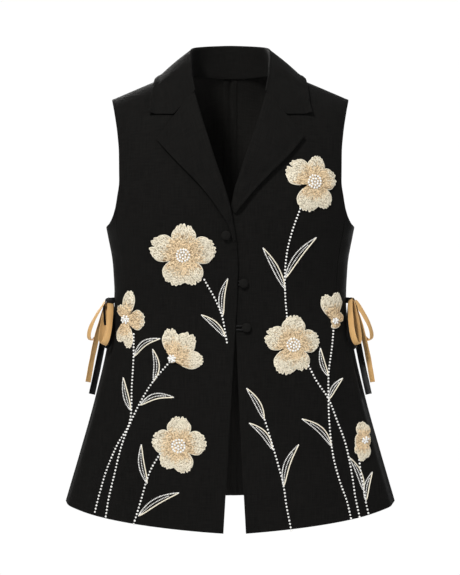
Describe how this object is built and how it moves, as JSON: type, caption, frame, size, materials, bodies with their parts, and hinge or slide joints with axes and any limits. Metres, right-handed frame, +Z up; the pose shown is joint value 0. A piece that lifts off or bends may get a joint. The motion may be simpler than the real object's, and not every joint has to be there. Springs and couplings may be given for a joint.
{
  "type": "embroidered waistcoat",
  "caption": "Long sleeveless waistcoat with tailored collar and lapels, wrapped buttoned front, side slits tied with ribbon bows, and flower embroidery.",
  "frame": {"origin": "middle of the neck, at the height where the collar meets the shoulders", "axes": "+Z up along the body, -Y towards the front, +X towards the wearer's left"},
  "size_m": [0.5058, 0.2588, 0.741],
  "materials": {
    "black_cloth": "matt plain-weave suiting",
    "black_ribbon": "satin ribbon",
    "tan_ribbon": "satin ribbon",
    "cream_straw": "stitched flat straw yarn",
    "tan_straw": "stitched flat straw yarn",
    "white_bead": "pearl bead"
  },
  "bodies": {
    "root": {"front_right": "black_cloth", "front_left": "black_cloth", "back_right": "black_cloth", "back_left": "black_cloth", "lapel_right": "black_cloth", "lapel_left": "black_cloth", "collar_leaf": "black_cloth", "collar_stand": "black_cloth", "button_upper": "black_cloth", "button_middle": "black_cloth", "button_lower": "black_cloth", "button_middle_loop": "black_ribbon", "button_lower_loop": "black_ribbon", "black_loop_right": "black_ribbon", "black_loop_left": "black_ribbon", "black_tail_right": "black_ribbon", "black_tail_left": "black_ribbon", "knot_right": "black_ribbon", "tan_loop_outer_right": "tan_ribbon", "tan_loop_inner_right": "tan_ribbon", "tan_tail_right": "tan_ribbon", "tan_loop_outer_left": "tan_ribbon", "tan_loop_inner_left": "tan_ribbon", "tan_tail_left": "tan_ribbon", "knot_left": "tan_ribbon"}
  },
  "joints": []
}
